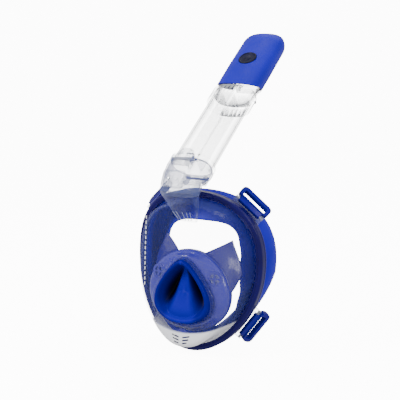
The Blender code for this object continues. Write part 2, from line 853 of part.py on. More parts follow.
def build_cap():
    grow = CAP_GROW
    foot = oval_ring(grow, CAP_FROM)
    for point in foot:
        point.z += CAP_SLANT * point.y
    rings = [
        foot, oval_ring(grow + 0.4, CAP_FROM + 34.0), oval_ring(grow, CAP_TO - 24.0),
        oval_ring(grow - 2.0, CAP_TO - 12.0), oval_ring(grow - 6.5, CAP_TO - 4.5), oval_ring(grow - 13.0, CAP_TO),
    ]
    cap = thicken(loft("top_cap", rings, "blue_plastic", cap_last=True), 1.5, -1.0)
    window = box("cap_window", (-22.0, 12.0, CAP_FROM - 5.0), (22.0, 32.0, WINDOW_TOP), None)
    seat = cylinder(
        "badge_seat", BADGE_RADIUS + 0.4, 18.7, 30.0, None,
        Matrix.Translation((0.0, 0.0, BADGE_Z)) @ turned("X", 90.0), 20,
    )
    combine(cap, window)
    combine(cap, seat)
    badge = lathe(
        "cap_badge",
        [(0.0, 20.6), (9.6, 20.6), (10.2, 21.2), (13.2, 21.2), (14.0, 20.4), (14.0, 19.0), (0.0, 19.0)],
        "dark_badge",
    )
    return [cap, window, seat], badge


def build_float():
    body = plate("float", [rounded(14.0, -9.0, 9.0, 5.0)], FLOAT_FROM, FLOAT_FROM + FLOAT_HEIGHT, "float_foam")
    low = FLOAT_FROM + FLOAT_HEIGHT + FIT_GAP
    seal = plate("float_seal", [rounded(12.0, -7.0, 7.0, 4.0)], low, low + 2.3, "dark_rubber")
    return [body, seal]


def build_flap(side, name):
    """A flap over an outer channel, hinged along its outer edge."""
    outline_points = [(x + side * 20.0, y) for x, y in rounded(8.0, -9.0, 9.0, 2.0)]
    return plate(f"exhale_flap_{name}", [outline_points], TUBE_LENGTH + 0.5, TUBE_LENGTH + 1.9, "valve_rubber")


def build_latch():
    """A tab with an arched top in front of the tube's foot, on a pin across the base's lugs."""
    reach = 13.2
    arc = []
    for i in range(13):
        t = math.pi * i / 12
        arc.append((reach * math.cos(t), -6.0 + reach * math.sin(t)))
    points = [(-reach, -24.0), (reach, -24.0)] + arc
    tab = plate("latch", [points], 23.2, 27.8, "clear_plastic", turned("X", 90.0))
    hole = cross_hole("latch_hole", *LATCH_AXIS)
    combine(tab, hole)
    axis = empty("latch_axis", joint_frame() @ shift(0.0, *LATCH_AXIS))
    for piece in (tab, hole):
        piece.parent = axis
        piece.matrix_local = shift(0.0, *LATCH_AXIS).inverted()
    pin = cylinder("latch_pin", PIN_RADIUS, -17.6, 17.6, "steel", turned("Y", 90.0))
    pin.matrix_world = joint_frame() @ shift(0.0, *LATCH_AXIS)


def build_snorkel():
    fold = empty("fold_axis", joint_frame() @ shift(0.0, FOLD_BACK, 0.0))
    back = shift(0.0, -FOLD_BACK, 0.0)
    cap_pieces, badge = build_cap()
    rigid = build_tube() + build_collar() + build_top_body() + build_vent_cover() + cap_pieces
    for piece in rigid:
        piece.parent = fold
        piece.matrix_local = back
    badge.parent = fold
    badge.matrix_local = back @ shift(0.0, 0.0, BADGE_Z) @ turned("X", 90.0)
    riders = {"float_axis": ((0.0, 0.0, FLOAT_FROM), build_float())}
    for side, name in ((1, "left"), (-1, "right")):
        hinge = (side * 28.0, 0.0, TUBE_LENGTH + 1.2)
        riders[f"flap_axis_{name}"] = (hinge, [build_flap(side, name)])
    for name, (place, pieces) in riders.items():
        axis = empty(name, back @ shift(*place), fold)
        for piece in pieces:
            piece.parent = axis
            piece.matrix_local = shift(*place).inverted()


# Strap buckles


def buckle_frame(angle):
    """On the pin: X along the frame's outline, Z outwards and Y forwards."""
    t = math.radians(angle)
    along = (frame_point(t + 0.01, 0.0, 0.0) - frame_point(t - 0.01, 0.0, 0.0)).normalized()
    out = egg_normal(t)
    outwards = Vector((out.x, 0.0, out.y))
    outwards = (outwards - outwards.dot(along) * along).normalized()
    forwards = outwards.cross(along)
    place = frame_point(t, BUCKLE_PIN_OUT, FRAME_REAR + BRACKET_GAP + TONGUE_THICKNESS / 2)
    turn = Matrix((along, forwards, outwards)).transposed().to_4x4()
    return Matrix.Translation(place * MM) @ turn


def bracket_outline():
    side = BRACKET_HALF_WIDTH
    tongue = TONGUE_HALF_WIDTH + 0.6
    return [
        (-side, -9.0), (side, -9.0), (side, 3.0), (tongue, 3.0),
        (tongue, -5.0), (-tongue, -5.0), (-tongue, 3.0), (-side, 3.0),
    ]


def build_buckle(name, angle):
    """The loop that the strap turns round, with the narrower tongue that the pin runs through."""
    half = TONGUE_THICKNESS / 2
    half_loop = LOOP_THICKNESS / 2
    upright = turned("X", 90.0)
    across = turned("Y", 90.0)
    frame = buckle_frame(angle)
    bracket = plate(f"strap_bracket_{name}", [bracket_outline()], -half, half, "clear_plastic", upright)
    slot_length, slot_width = STRAP_SLOT
    slot = rounded(slot_length / 2, SLOT_AT - slot_width / 2, SLOT_AT + slot_width / 2, 2.0, 3)
    loop = rounded(BUCKLE_HALF_WIDTH, LOOP_FROM, LOOP_FROM + LOOP_DEPTH, 6.5)
    buckle = plate(f"strap_buckle_{name}", [loop, slot], -half_loop, half_loop, "blue_plastic", upright)
    tongue_outline = rectangle(TONGUE_HALF_WIDTH, -3.0, LOOP_FROM + 1.6)
    tongue = plate(f"buckle_tongue_{name}", [tongue_outline], -half, half, None, upright)
    hole = cylinder(f"buckle_hole_{name}", HOLE_RADIUS, -30.0, 30.0, None, across)
    pin = cylinder(f"buckle_pin_{name}", PIN_RADIUS, -BRACKET_HALF_WIDTH, BRACKET_HALF_WIDTH, "steel", across, 10)
    axis = empty(f"buckle_axis_{name}", frame @ turned("X", LOOP_LEAN))
    buckle.parent = axis
    tongue.parent = axis
    for piece in (bracket, hole, pin):
        piece.matrix_world = frame
    combine(buckle, tongue, "UNION")
    for piece in (bracket, buckle):
        combine(piece, hole, solver="MANIFOLD")


def build_mask():
    build_front_frame()
    build_rear_frame()
    build_skirt()
    build_visor()
    build_nose_pocket()
    build_nose_retainer()
    build_cup()
    for side, name in ((1, "left"), (-1, "right")):
        build_inhale_valve(side, name)
        build_cup_wing(side, name)
    build_chin_valve()
    build_duct()
    build_base()
    build_base_panel()
    build_seal()
    build_fold_pin()
    build_latch()
    build_snorkel()
    for level, angle in BUCKLES.items():
        build_buckle(f"{level}_left", angle)
        build_buckle(f"{level}_right", 180.0 - angle)


build_mask()
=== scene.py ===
"""Looks of the full-face snorkel mask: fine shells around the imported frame, materials and studio.

Lengths in the makers are millimetres in the frame's own axes: the mask faces -Y and +Z is up.
"""

import json
import math

import bmesh
import bpy
from mathutils import Matrix, Vector
from mathutils.bvhtree import BVHTree


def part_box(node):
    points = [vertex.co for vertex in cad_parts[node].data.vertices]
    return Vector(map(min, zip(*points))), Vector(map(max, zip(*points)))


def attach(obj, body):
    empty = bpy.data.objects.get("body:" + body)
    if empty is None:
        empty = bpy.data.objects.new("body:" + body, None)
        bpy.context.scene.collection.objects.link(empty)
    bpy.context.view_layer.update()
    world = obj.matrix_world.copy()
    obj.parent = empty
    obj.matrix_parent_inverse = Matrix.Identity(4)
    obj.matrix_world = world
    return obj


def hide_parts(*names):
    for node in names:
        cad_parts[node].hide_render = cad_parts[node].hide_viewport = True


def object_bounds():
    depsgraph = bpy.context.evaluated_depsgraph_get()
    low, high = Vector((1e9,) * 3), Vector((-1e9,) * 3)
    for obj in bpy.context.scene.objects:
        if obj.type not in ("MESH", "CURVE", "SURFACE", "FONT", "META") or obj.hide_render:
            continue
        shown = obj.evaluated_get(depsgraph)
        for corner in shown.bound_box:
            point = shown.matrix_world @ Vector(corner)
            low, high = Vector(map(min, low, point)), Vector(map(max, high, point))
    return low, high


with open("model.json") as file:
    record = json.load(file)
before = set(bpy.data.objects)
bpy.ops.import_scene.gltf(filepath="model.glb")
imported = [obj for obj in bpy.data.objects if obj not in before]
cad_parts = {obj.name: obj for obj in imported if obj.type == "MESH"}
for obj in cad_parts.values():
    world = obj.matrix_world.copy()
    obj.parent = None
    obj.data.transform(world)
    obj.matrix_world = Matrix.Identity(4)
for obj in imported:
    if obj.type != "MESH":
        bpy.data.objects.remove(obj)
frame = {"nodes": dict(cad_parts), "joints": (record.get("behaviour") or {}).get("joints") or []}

CAD_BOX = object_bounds()
MM = 0.001
FINE = 144
TUBE_FINE = 96
SHELL = "mask_shell"
BACKDROP = 12.0
AMBIENT = 1.0
BUCKLES = ("upper_left", "upper_right", "lower_left", "lower_right")


# Driving sizes in millimetres, as the frame has them


def size_of(node):
    low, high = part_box(node)
    return Vector(low) / MM, Vector(high) / MM


HALF_HEIGHT = size_of("front_frame")[1].z
HALF_WIDTH = 100.0
EGG = 0.09
SQUARENESS = (2.3, 2.0)
SWEEP = 12.0
NOD = 8.0
FRONT = -44.0
SPLIT = -34.0
REAR = -29.0
BAND = 9.0
WALL = 2.5

PANE = (76.0, 98.0)
PANE_CENTRE = -4.0
PANE_SQUARENESS = (3.0, 2.3)
PANE_TAPER = 0.28
PANE_FRONT = -75.0
PANE_BOW = 8.0
PANE_LIFT = -3.0

NOSE = (40.0, 44.0)
NOSE_CENTRE = -24.0
NOSE_TAPER = 0.45
NOSE_RISE = 9.0
NOSE_RECESS = 27.0
BUMP_HEIGHT = 22.0
BUMP = ((11.0, 3.0), (-56.0, 27.0))
WEDGE_TOP = 12.0
WEDGE_SPREAD = 0.38

SKIRT_SWEEP = 26.0
SKIRT_TUCK = 12.0
LIP = (60.0, 84.0, 74.0)
LIP_SQUARENESS = (4.5, 2.2)
LIP_CENTRE = -15.0
LIP_DEPTH = -18.0
LIP_DROP = 12.0

CUP = (64.0, 58.0)
CUP_CENTRE = -26.0
VALVE_AT = (45.0, -66.2, -3.0)
VALVE_TURN = 12.0
VALVE_HOLE = 10.2
WING_TIPS = ((70.5, -31.0, 2.0), (55.0, -31.0, 48.0))

DRAIN_SLOTS = ((12.0, -88.5), (10.5, -93.0), (8.0, -97.5))
DRAIN_LEAN = 14.0
WHITE_CHIN = (-81.0, -85.0)
WHITE_CHIN_BOW = 4.0
MARKS = 14
MARK_TOP = 74.0
MARK_STEP = 7.4
MARK_SIZE = (1.5, 0.9, 4.6)
DUCT = ((-66.5, 74.0, 15.0, 5.0), (-75.0, 90.0, 20.0, 10.0), (-88.0, 112.7, 25.0, 19.0))
DUCT_WALL = 1.8
DUCT_RIBS = (-12.0, -7.0, 1.0, 7.0, 12.0)

TUBE = (31.0, 17.0)
TUBE_SQUARENESS = 2.5
SEAL_DEPTH = 1.4
CAP_GROW = 3.0
CAP_SLANT = 0.75
CAP_FOOT = 175.0
CAP_TOP = 296.0
CAP_ROUND = 24.0
CAP_WINDOW = (44.0, 20.0, 64.0)
CAP_WINDOW_AT = (0.0, 22.0, 202.0)
BADGE_AT = 220.0
BADGE_SEAT = 14.4

# Camera, in degrees and metres

AZIMUTH = 29.0
RISE = 8.0
ROLL = 1.5
DISTANCE = 1.4286

# Lamps: power in watts, size, place and aim

LAMPS = {
    "key": (24.0, 0.5, (-0.7, -1.1, 1.0), (0.0, 0.0, 0.08)),
    "fill": (13.0, 0.8, (1.3, -0.6, 0.7), (0.0, 0.0, 0.08)),
    "top": (9.0, 1.2, (0.0, 0.5, 1.5), (0.0, 0.0, 0.1)),
}


# Materials


def new_material(name):
    made = bpy.data.materials.new(name)
    made.use_nodes = True
    nodes = made.node_tree.nodes
    return made, nodes, made.node_tree.links, nodes["Principled BSDF"]


def noise_at(nodes, links, scale, detail=3.0):
    """A noise texture in the object's own space, scaled per metre."""
    place = nodes.new("ShaderNodeTexCoord")
    texture = nodes.new("ShaderNodeTexNoise")
    texture.inputs["Scale"].default_value = scale
    texture.inputs["Detail"].default_value = detail
    links.new(place.outputs["Object"], texture.inputs["Vector"])
    return texture


def spread(nodes, links, source, low, high):
    """Maps a noise value, which is mostly between 0.3 and 0.7, to a range."""
    made = nodes.new("ShaderNodeMapRange")
    made.inputs["From Min"].default_value = 0.3
    made.inputs["From Max"].default_value = 0.7
    made.inputs["To Min"].default_value = low
    made.inputs["To Max"].default_value = high
    links.new(source, made.inputs["Value"])
    return made.outputs["Result"]


def two_tones(nodes, links, share, first, second):
    """A blend of two colours, by a 0 to 1 share of the second."""
    mix = nodes.new("ShaderNodeMix")
    mix.data_type = "RGBA"
    mix.inputs[6].default_value = (*first, 1.0)
    mix.inputs[7].default_value = (*second, 1.0)
    links.new(share, mix.inputs[0])
    return mix.outputs[2]


def roughen(nodes, links, shader, scale, strength, distance):
    fine = noise_at(nodes, links, scale, 4.0)
    bump = nodes.new("ShaderNodeBump")
    bump.inputs["Strength"].default_value = strength
    bump.inputs["Distance"].default_value = distance
    links.new(fine.outputs["Fac"], bump.inputs["Height"])
    links.new(bump.outputs["Normal"], shader.inputs["Normal"])


def moulded(name, first, second, roughness, bump=0.15, coat=0.0):
    """Moulded plastic: a slow drift of tone, uneven gloss and a fine grain."""
    made, nodes, links, shader = new_material(name)
    drift = noise_at(nodes, links, 18.0)
    share = spread(nodes, links, drift.outputs["Fac"], 0.0, 1.0)
    links.new(two_tones(nodes, links, share, first, second), shader.inputs["Base Color"])
    smudge = noise_at(nodes, links, 60.0)
    gloss = spread(nodes, links, smudge.outputs["Fac"], roughness * 0.8, roughness * 1.25)
    links.new(gloss, shader.inputs["Roughness"])
    shader.inputs["Specular IOR Level"].default_value = 0.13
    shader.inputs["Coat Weight"].default_value = coat
    shader.inputs["Coat Roughness"].default_value = 0.12
    roughen(nodes, links, shader, 900.0, bump, 0.0002)
    return made


def silicone(name, first, second, roughness=0.42):
    """Soft silicone: satin with a faint powdery sheen."""
    made = moulded(name, first, second, roughness, 0.2)
    shader = made.node_tree.nodes["Principled BSDF"]
    shader.inputs["Sheen Weight"].default_value = 0.04
    shader.inputs["Sheen Roughness"].default_value = 0.4
    return made


def see_through(name, tint, face_on, edge_on, roughness=0.08, haze=0.0):
    """Clear plastic or silicone as a thin wall: faint where it faces the eye, solid edge on."""
    made, nodes, links, shader = new_material(name)
    drift = noise_at(nodes, links, 30.0)
    share = spread(nodes, links, drift.outputs["Fac"], 0.0, 1.0)
    darker = tuple(0.9 * c for c in tint)
    links.new(two_tones(nodes, links, share, tint, darker), shader.inputs["Base Color"])
    gloss = spread(nodes, links, drift.outputs["Fac"], roughness * 0.7, roughness * 1.4)
    links.new(gloss, shader.inputs["Roughness"])
    shader.inputs["Coat Weight"].default_value = 0.5
    shader.inputs["Coat Roughness"].default_value = 0.04
    facing = nodes.new("ShaderNodeLayerWeight")
    facing.inputs["Blend"].default_value = 0.28
    solid = nodes.new("ShaderNodeMapRange")
    solid.inputs["From Min"].default_value = 0.2
    solid.inputs["From Max"].default_value = 0.9
    solid.inputs["To Min"].default_value = face_on
    solid.inputs["To Max"].default_value = edge_on
    links.new(facing.outputs["Facing"], solid.inputs["Value"])
    alpha = solid.outputs["Result"]
    if haze:
        cloud = spread(nodes, links, drift.outputs["Fac"], 0.0, haze)
        alpha = calculate(nodes, links, "ADD", alpha, cloud)
    links.new(alpha, shader.inputs["Alpha"])
    return made


def calculate(nodes, links, operation, first, second):
    """One step of arithmetic on sockets or plain numbers."""
    step = nodes.new("ShaderNodeMath")
    step.operation = operation
    for socket, value in zip(step.inputs, (first, second)):
        if isinstance(value, float):
            socket.default_value = value
        else:
            links.new(value, socket)
    return step.outputs["Value"]


def fade(nodes, links, value, start, end):
    """0 before start and 1 after end, with a soft run between them."""
    made = nodes.new("ShaderNodeMapRange")
    made.interpolation_type = "SMOOTHSTEP"
    made.inputs["From Min"].default_value = start
    made.inputs["From Max"].default_value = end
    links.new(value, made.inputs["Value"])
    return made.outputs["Result"]


def place_of(nodes, links):
    place = nodes.new("ShaderNodeTexCoord")
    split = nodes.new("ShaderNodeSeparateXYZ")
    links.new(place.outputs["Object"], split.inputs[0])
    return split.outputs


def visor_clear():
    """The visor: clear over the eyes, and white and nearly opaque round the drain slots in the chin.

    The edge of the white part sags towards the middle, so its level rises with the square of X.
    """
    made = see_through("visor_clear", (0.15, 0.18, 0.52), 0.05, 0.45, 0.05)
    nodes = made.node_tree.nodes
    links = made.node_tree.links
    shader = nodes["Principled BSDF"]
    place = place_of(nodes, links)
    squared = calculate(nodes, links, "POWER", place["X"], 2.0)
    bow = calculate(nodes, links, "MULTIPLY", squared, WHITE_CHIN_BOW)
    level = calculate(nodes, links, "SUBTRACT", place["Z"], bow)
    chin = fade(nodes, links, level, MM * WHITE_CHIN[0], MM * WHITE_CHIN[1])
    clear = shader.inputs["Base Color"].links[0].from_socket
    mix = nodes.new("ShaderNodeMix")
    mix.data_type = "RGBA"
    links.new(chin, mix.inputs[0])
    links.new(clear, mix.inputs[6])
    mix.inputs[7].default_value = (0.86, 0.87, 0.92, 1.0)
    links.new(mix.outputs[2], shader.inputs["Base Color"])
    alpha = shader.inputs["Alpha"].links[0].from_socket
    # The chin is coloured white and made nearly opaque here.
    milky = calculate(nodes, links, "MULTIPLY", chin, 0.93)
    links.new(calculate(nodes, links, "MAXIMUM", alpha, milky), shader.inputs["Alpha"])
    return made


def pocket_silicone():
    """The nose pocket: navy rim, a wedge painted brighter as where light from above falls on it, and
    painted shade that goes nearly black down in the finger recesses.
    """
    made, nodes, links, shader = new_material("pocket_silicone")
    place = place_of(nodes, links)
    # Painted shade: the colour darkens further back in Y, to near black deep in the finger recesses.
    recess_painted_shade = fade(nodes, links, place["Y"], MM * (PANE_FRONT + 1.0), MM * (PANE_FRONT + 15.0))
    side = calculate(nodes, links, "ABSOLUTE", place["X"], 0.0)
    below_top = calculate(nodes, links, "SUBTRACT", MM * WEDGE_TOP, place["Z"])
    width = calculate(nodes, links, "MULTIPLY", below_top, WEDGE_SPREAD)
    width = calculate(nodes, links, "MAXIMUM", width, MM * 1.5)
    across = calculate(nodes, links, "DIVIDE", side, width)
    # Painted light: the wedge over the nose is coloured brighter than the rim, as where light from above
    # falls on it.
    wedge = fade(nodes, links, across, 1.05, 0.6)
    # Painted shade: navy at the rim, going to near black where the recesses lie in shade.
    rim_navy_to_painted_shade = two_tones(nodes, links, recess_painted_shade, (0.003, 0.0001, 0.16), (0.0006, 0.0002, 0.006))
    mix = nodes.new("ShaderNodeMix")
    mix.data_type = "RGBA"
    links.new(wedge, mix.inputs[0])
    links.new(rim_navy_to_painted_shade, mix.inputs[6])
    # Painted light: the brighter blue of the lit wedge.
    mix.inputs[7].default_value = (0.002, 0.0001, 0.27, 1.0)
    links.new(mix.outputs[2], shader.inputs["Base Color"])
    grain = noise_at(nodes, links, 80.0)
    links.new(spread(nodes, links, grain.outputs["Fac"], 0.42, 0.6), shader.inputs["Roughness"])
    shader.inputs["Specular IOR Level"].default_value = 0.08
    roughen(nodes, links, shader, 700.0, 0.15, 0.0002)
    return made


def steel():
    made = moulded("steel", (0.55, 0.56, 0.58), (0.42, 0.43, 0.45), 0.3, 0.1)
    made.node_tree.nodes["Principled BSDF"].inputs["Metallic"].default_value = 1.0
    return made


PAINT = {
    "cap": moulded("cap_blue", (0.004, 0.0002, 0.36), (0.002, 0.0002, 0.29), 0.42, 0.12),
    "navy": moulded("frame_blue", (0.004, 0.0001, 0.085), (0.0025, 0.0001, 0.055), 0.24, 0.10, 0.06),
    "buckle": moulded("buckle_blue", (0.005, 0.0001, 0.20), (0.003, 0.0001, 0.14), 0.28, 0.10, 0.06),
    "skirt": silicone("skirt_silicone", (0.006, 0.0002, 0.42), (0.004, 0.0001, 0.32)),
    "pocket": pocket_silicone(),
    "soft": see_through("soft_silicone", (0.016, 0.010, 0.30), 0.965, 0.995, 0.35, 0.02),
    "wing": see_through("wing_silicone", (0.008, 0.003, 0.17), 0.98, 0.998, 0.35, 0.01),
    "clear": see_through("clear_plastic", (0.24, 0.27, 0.40), 0.26, 0.98),
    "base": see_through("base_clear", (0.11, 0.14, 0.36), 0.34, 0.98),
    "duct": see_through("duct_clear", (0.10, 0.12, 0.36), 0.05, 0.85),
    "visor": visor_clear(),
    "tube": see_through("tube_clear", (0.30, 0.32, 0.35), 0.05, 0.97),
    "milky": see_through("valve_silicone", (0.07, 0.07, 0.36), 0.9, 0.97, 0.4, 0.05),
    "seal": see_through("seal_silicone", (0.05, 0.06, 0.16), 0.35, 0.9, 0.3),
    "badge": moulded("badge_navy", (0.001, 0.002, 0.035), (0.0003, 0.0005, 0.010), 0.45, 0.15),
    "float": moulded("float_foam", (0.80, 0.81, 0.83), (0.70, 0.71, 0.74), 0.7, 0.5),
    "mark": moulded("moulded_mark", (0.85, 0.86, 0.90), (0.78, 0.80, 0.86), 0.4, 0.1),
    # Painted highlight: the duct's ribs are coloured pale to stand for streaks of light on the clear
    # duct.
    "painted_highlight_rib": moulded("duct_rib_painted_highlight", (0.42, 0.46, 0.66), (0.34, 0.38, 0.58), 0.3, 0.1, 0.2),
    "steel": steel(),
}


# Making pieces


def finish(bm, name, paint, body, nodes=(), sharp=35.0):
    """Turns a bmesh in millimetres into a piece that rides on its body."""
    bmesh.ops.recalc_face_normals(bm, faces=bm.faces)
    bmesh.ops.scale(bm, vec=(MM, MM, MM), verts=bm.verts)
    mesh = bpy.data.meshes.new(name)
    bm.to_mesh(mesh)
    bm.free()
    mesh.shade_smooth()
    mesh.set_sharp_from_angle(angle=math.radians(sharp))
    mesh.materials.append(PAINT[paint])
    made = bpy.data.objects.new(name, mesh)
    bpy.context.scene.collection.objects.link(made)
    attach(made, body)
    if nodes:
        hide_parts(*nodes)
    return made


def skin(rings, loop=False, cap_first=False, cap_last=False):
    """A mesh through rings with the same count of points."""
    bm = bmesh.new()
    rows = [[bm.verts.new(point) for point in ring] for ring in rings]
    pairs = list(zip(rows, rows[1:]))
    if loop:
        pairs.append((rows[-1], rows[0]))
    for first, second in pairs:
        for i in range(len(first)):
            j = (i + 1) % len(first)
            bm.faces.new((first[i], first[j], second[j], second[i]))
    for wanted, row in ((cap_first, rows[0]), (cap_last, rows[-1])):
        if wanted:
            bm.faces.new(row)
    return bm


def apply_all(made):
    """Applies the piece's modifiers, so that its mesh is the final one."""
    graph = bpy.context.evaluated_depsgraph_get()
    done = bpy.data.meshes.new_from_object(made.evaluated_get(graph), depsgraph=graph)
    made.modifiers.clear()
    made.data = done
    return made


def thicken(made, thickness, offset=0.0):
    shell = made.modifiers.new("wall", "SOLIDIFY")
    shell.thickness = MM * thickness
    shell.offset = offset
    return made


def cut(made, tools):
    """Cuts the piece with closed tools, which are then removed."""
    for tool in tools:
        step = made.modifiers.new("cut", "BOOLEAN")
        step.operation = "DIFFERENCE"
        step.object = tool
        step.material_mode = "TRANSFER"
    apply_all(made)
    for tool in tools:
        bpy.data.objects.remove(tool, do_unlink=True)
    return made


def tool_of(bm, name, paint=None):
    """A closed cutter, whose paint, if any, goes to the faces that it cuts."""
    bmesh.ops.recalc_face_normals(bm, faces=bm.faces)
    bmesh.ops.scale(bm, vec=(MM, MM, MM), verts=bm.verts)
    mesh = bpy.data.meshes.new(name)
    bm.to_mesh(mesh)
    bm.free()
    if paint:
        mesh.materials.append(PAINT[paint])
    made = bpy.data.objects.new(name, mesh)
    bpy.context.scene.collection.objects.link(made)
    return made


def welded(node):
    """A CAD solid as a bmesh, in metres, with its triangles' corners joined."""
    bm = bmesh.new()
    bm.from_mesh(frame["nodes"][node].data)
    bmesh.ops.remove_doubles(bm, verts=bm.verts, dist=0.01 * MM)
    return bm


def stand_in(bm, node, paint, body, width=0.0):
    """Puts a bmesh, in metres, in the place of a CAD solid, with edges rounded off to a width."""
    mesh = bpy.data.meshes.new(node + "_fine")
    bm.to_mesh(mesh)
    bm.free()
    mesh.materials.append(PAINT[paint])
    made = bpy.data.objects.new(node + "_fine", mesh)
    bpy.context.scene.collection.objects.link(made)
    if width:
        edge = made.modifiers.new("edge", "BEVEL")
        edge.width = MM * width
        edge.segments = 3
        edge.limit_method = "ANGLE"
        edge.angle_limit = math.radians(40.0)
        apply_all(made)
    made.data.shade_smooth()
    made.data.set_sharp_from_angle(angle=math.radians(35.0))
    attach(made, body)
    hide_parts(node)


def rounded_copy(node, paint, body, width):
    """A CAD solid again with its edges rounded off."""
    bm = welded(node)
    bmesh.ops.dissolve_limit(bm, angle_limit=math.radians(1.0), verts=bm.verts, edges=bm.edges)
    stand_in(bm, node, paint, body, width)


def keep_largest(bm):
    """Deletes every island of faces but the one with the most area."""
    islands = []
    left = set(bm.faces)
    for face in bm.faces:
        if face not in left:
            continue
        island = []
        edge = [face]
        left.discard(face)
        while edge:
            here = edge.pop()
            island.append(here)
            near = {other for side in here.edges for other in side.link_faces} & left
            left -= near
            edge += near
        islands.append(island)
    islands.sort(key=lambda island: sum(face.calc_area() for face in island))
    bmesh.ops.delete(bm, geom=[face for island in islands[:-1] for face in island], context="FACES")


def outer_skin(node, paint, body):
    """Only the outside faces of a hollow clear solid, since many clear walls in a row go dark."""
    bm = welded(node)
    tree = BVHTree.FromBMesh(bm)
    inside = []
    for face in bm.faces:
        start = face.calc_center_median() + 0.05 * MM * face.normal
        if tree.ray_cast(start, face.normal)[0] is not None:
            inside.append(face)
    bmesh.ops.delete(bm, geom=inside, context="FACES")
    keep_largest(bm)
    stand_in(bm, node, paint, body)


# Outlines, as the frame has them


def angles(count=FINE):
    return [2 * math.pi * i / count for i in range(count)]


def superellipse(t, half_width, half_height, squareness):
    c = math.cos(t)
    s = math.sin(t)
    reach = (abs(c) ** squareness + abs(s) ** squareness) ** (-1 / squareness)
    return half_width * c * reach, half_height * s * reach


def egg(t):
    """The face frame's outline, wider at the top than at the chin."""
    x, z = superellipse(t, HALF_WIDTH, HALF_HEIGHT, SQUARENESS[0 if math.sin(t) > 0 else 1])
    return Vector((x * (1 + EGG * z / HALF_HEIGHT), z))


def egg_normal(t):
    along = (egg(t + 0.001) - egg(t - 0.001)).normalized()
    return Vector((along.y, -along.x))


def frame_point(t, grow, y, sweep=SWEEP):
    x, z = egg(t) + grow * egg_normal(t)
    return Vector((x, y + sweep * (x / HALF_WIDTH) ** 2 - NOD * (z / HALF_HEIGHT) ** 2, z))


def frame_ring(grow, y, sweep=SWEEP):
    return [frame_point(t, grow, y, sweep) for t in angles()]


def pane_y(x, z):
    """How far forward the visor's pane stands at a place."""
    across = x / PANE[0]
    upwards = (z - PANE_CENTRE) / PANE[1]
    return PANE_FRONT + PANE_BOW * across**2 + PANE_LIFT * upwards**2


def pane_ring(inset, back=0.0):
    ring = []
    for t in angles():
        squareness = PANE_SQUARENESS[0 if math.sin(t) > 0 else 1]
        x, z = superellipse(t, PANE[0] - inset, PANE[1] - inset, squareness)
        x *= 1 - PANE_TAPER * max(-z / PANE[1], 0.0) ** 1.5
        z += PANE_CENTRE
        ring.append(Vector((x, pane_y(x, z) + back, z)))
    return ring


def nose_ring(grow, lift):
    """The nose pocket's pear shape, lifted off the visor's pane."""
    ring = []
    for t in angles():
        x = (NOSE[0] + grow) * math.cos(t) * (1 - NOSE_TAPER * math.sin(t))
        z = NOSE_CENTRE + (NOSE[1] + grow) * math.sin(t)
        ring.append(Vector((x, pane_y(x, z) - lift, z)))
    return ring


def cup_ring(scale, y):
    ring = []
    for t in angles():
        x = scale * CUP[0] * math.cos(t) * (1 - 0.05 * math.sin(t))
        ring.append(Vector((x, y, CUP_CENTRE + scale * CUP[1] * math.sin(t))))
    return ring


def between(first, second, share):
    return [a.lerp(b, share) for a, b in zip(first, second)]


def curve_through(values, steps):
    """A smooth run through rows of numbers, by Catmull-Rom pieces."""
    rows = [values[0]] + list(values) + [values[-1]]
    made = []
    for i in range(len(rows) - 3):
        a, b, c, d = rows[i:i + 4]
        for step in range(steps):
            u = step / steps
            made.append(tuple(
                0.5 * (
                    2 * q + (r - p) * u
                    + (2 * p - 5 * q + 4 * r - s) * u**2
                    + (3 * q - p - 3 * r + s) * u**3
                )
                for p, q, r, s in zip(a, b, c, d)
            ))
    made.append(tuple(values[-1]))
    return made


def smooth_rings(rings, steps):
    """Rings put between rings, so that each lengthwise line is smooth."""
    lines = [curve_through([tuple(ring[i]) for ring in rings], steps) for i in range(len(rings[0]))]
    return [[Vector(line[k]) for line in lines] for k in range(len(lines[0]))]


# Mask


def build_frames():
    lip = FRONT + 3.7
    profile = [
        (-2.6, FRONT), (-1.6, FRONT + 0.2), (-0.7, FRONT + 0.7), (-0.15, FRONT + 1.6),
        (0.0, FRONT + 2.6),
        (0.0, SPLIT - 0.6), (-0.4, SPLIT), (-WALL, SPLIT), (-WALL, lip), (-BAND, lip),
        (-BAND, FRONT + 1.2), (-BAND + 0.3, FRONT + 0.5), (-BAND + 1.0, FRONT), (-6.6, FRONT),
        (-6.2, FRONT + 0.5), (-5.6, FRONT + 0.5), (-5.2, FRONT),
    ]
    finish(
        skin([frame_ring(grow, y) for grow, y in profile], loop=True),
        "front_frame_fine", "navy", SHELL, ["front_frame"],
    )
    front = SPLIT + 0.3
    profile = [
        (-0.4, front), (0.0, front + 0.5), (0.0, REAR - 1.6), (-0.25, REAR - 0.7), (-0.9, REAR - 0.15),
        (-1.6, REAR), (-6.5, REAR), (-6.5, front),
    ]
    finish(
        skin([frame_ring(grow, y) for grow, y in profile], loop=True),
        "rear_frame_fine", "navy", SHELL, ["rear_frame"],
    )


def skirt_ring(grow, y, share):
    ring = []
    sweep = SWEEP + share * (SKIRT_SWEEP - SWEEP)
    for t in angles():
        tuck = share * SKIRT_TUCK * 2 * max(-math.sin(t), 0.0) * abs(math.cos(t))
        ring.append(frame_point(t, grow - tuck, y, sweep))
    return ring


def lip_edge():
    """The sealing lip's inner edge, which waves a little beside the eyes."""
    ring = []
    for t in angles():
        upper = t < math.pi
        x, z = superellipse(t, LIP[0], LIP[1 if upper else 2], LIP_SQUARENESS[0 if upper else 1])
        wave = 1.6 * math.sin(z / 9.0) * (abs(math.cos(t)) > 0.5) * min(1.0, abs(math.cos(t)) * 2 - 1.0)
        x += math.copysign(wave, x)
        ring.append(Vector((x, LIP_DEPTH + LIP_DROP * max(0.0, -math.sin(t)) ** 2, LIP_CENTRE + z)))
    return ring


